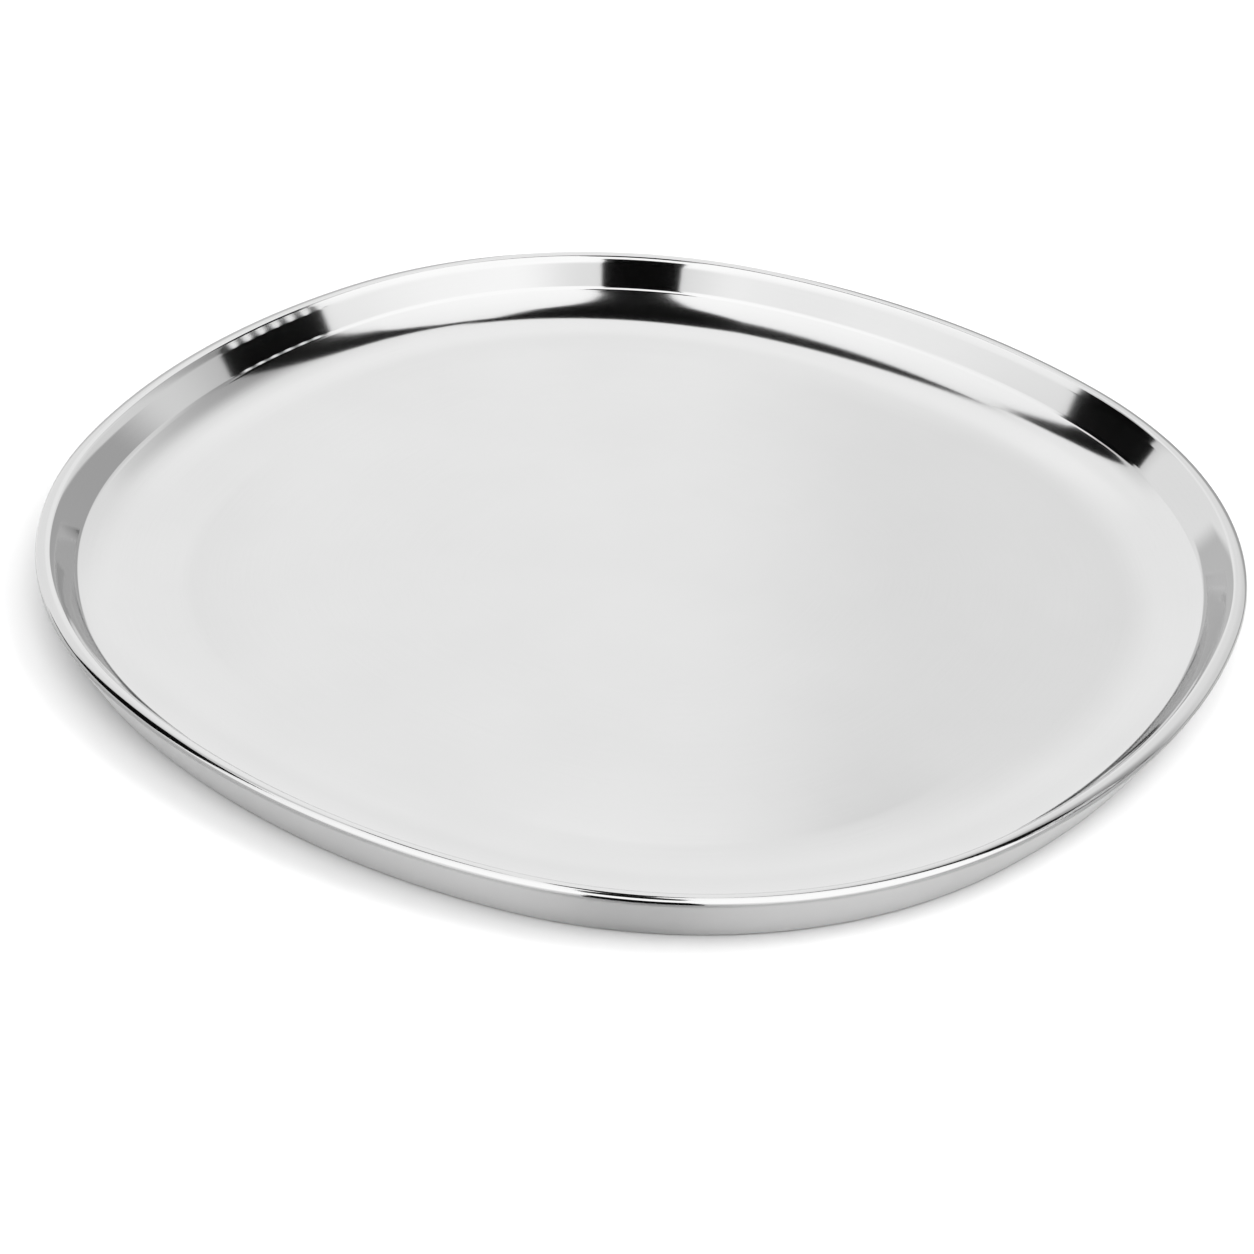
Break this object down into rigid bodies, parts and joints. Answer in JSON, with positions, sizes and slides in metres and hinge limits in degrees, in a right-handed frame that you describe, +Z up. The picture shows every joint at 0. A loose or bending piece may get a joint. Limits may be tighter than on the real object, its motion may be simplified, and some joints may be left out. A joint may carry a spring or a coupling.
{
  "type": "soft-square serving plate",
  "caption": "Shallow soft-square metal serving plate with a narrow rolled rim, a steep inner wall, a flat floor and a leaning outer skirt over a closed base.",
  "frame": {"origin": "middle of the flat underside, on the table plane", "axes": "+Z up through the middle of the floor; +X and +Y through the middles of two sides; the four soft corners lie at 45 degrees"},
  "size_m": [0.27, 0.27, 0.0143],
  "materials": {
    "dish_steel": "polished to a soft mirror",
    "shell_steel": "satin polished"
  },
  "bodies": {
    "root": {"dish": "dish_steel", "shell": "shell_steel"}
  },
  "joints": []
}
